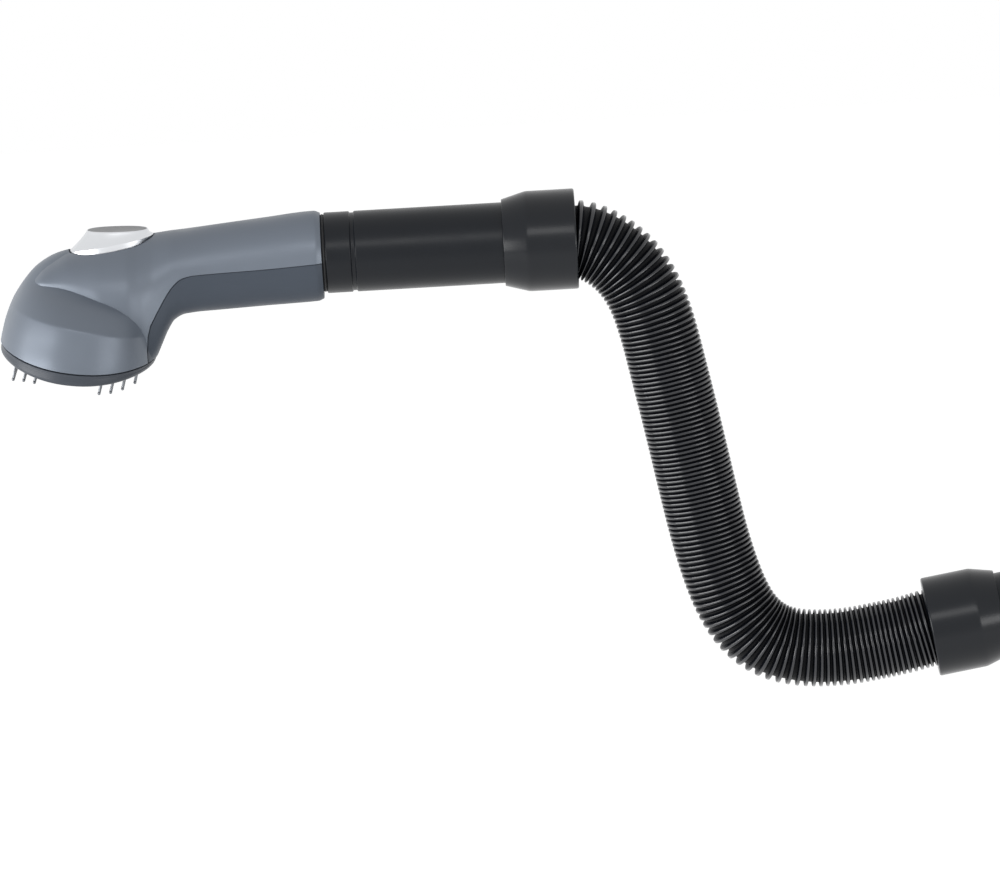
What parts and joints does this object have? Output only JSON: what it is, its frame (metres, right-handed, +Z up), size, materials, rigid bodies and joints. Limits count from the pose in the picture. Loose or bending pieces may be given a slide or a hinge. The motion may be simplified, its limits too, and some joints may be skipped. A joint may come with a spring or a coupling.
{
  "type": "pet dryer handset with hose",
  "caption": "Hand-held grooming head with a push button over a pin sole, on a straight wand tube with a swivelling ribbed stretch hose and a plug for the machine.",
  "frame": {"origin": "middle of the grip, on the axis of the wand tube", "axes": "+X along the wand's axis, from the head towards the hose; +Z up, away from the pins; the part is the same on both sides of Y = 0"},
  "size_m": [0.4443, 0.088, 0.2126],
  "materials": {
    "upper_shell": "satin, metallic grey",
    "lower_shell": "satin, dark grey",
    "sole_frame": "satin, dark grey",
    "dark_plastic": "satin, near black",
    "white_plastic": "natural acetal",
    "pin_steel": "polished",
    "screw_steel": "zinc plated",
    "spring_steel": "bright",
    "skirt_chrome": "chrome plated",
    "button_satin": "satin silver",
    "wand_black": "satin black",
    "cuff_black": "satin black",
    "hose_black": "satin black",
    "seal_rubber": "matt"
  },
  "bodies": {
    "wand": {"wand_tube": "wand_black", "neck_seal": "seal_rubber", "neck_snap_ring": "spring_steel", "front_snap_ring": "spring_steel"},
    "head": {"upper_shell": "upper_shell", "lower_shell": "lower_shell", "sole_frame": "sole_frame", "pin_bed": "dark_plastic", "pins": "pin_steel", "bed_screws": "screw_steel", "neck_bush": "white_plastic", "button_spring": "spring_steel"},
    "ejector": {"wiper_plate": "dark_plastic", "push_stem": "white_plastic", "wiper_screw": "screw_steel", "button_skirt": "skirt_chrome", "button_top": "button_satin"},
    "hose": {"front_cuff": "cuff_black", "front_bush": "white_plastic", "hose": "hose_black", "rear_bush": "white_plastic", "rear_cuff": "cuff_black"},
    "plug": {"machine_plug": "cuff_black", "rear_snap_ring": "spring_steel", "plug_seal": "seal_rubber"}
  },
  "joints": [
    {"name": "head_turn", "type": "hinge", "parent": "wand", "child": "head", "pos_m": [-0.05, 0, 0], "axis": [1, 0, 0], "range_deg": [-180, 180]},
    {"name": "button_push", "type": "slide", "parent": "head", "child": "ejector", "axis": [-0.2079, 0, -0.9781], "range_m": [0, 0.005], "stiffness_N_per_m": 450, "springref_m": -0.005, "deforming": ["button_spring"]},
    {"name": "hose_swivel", "type": "hinge", "parent": "wand", "child": "hose", "pos_m": [0.05, 0, 0], "axis": [1, 0, 0], "continuous": true},
    {"name": "plug_swivel", "type": "hinge", "parent": "hose", "child": "plug", "pos_m": [0.203, 0, -0.17], "axis": [0.989, 0, 0.1478], "continuous": true}
  ]
}
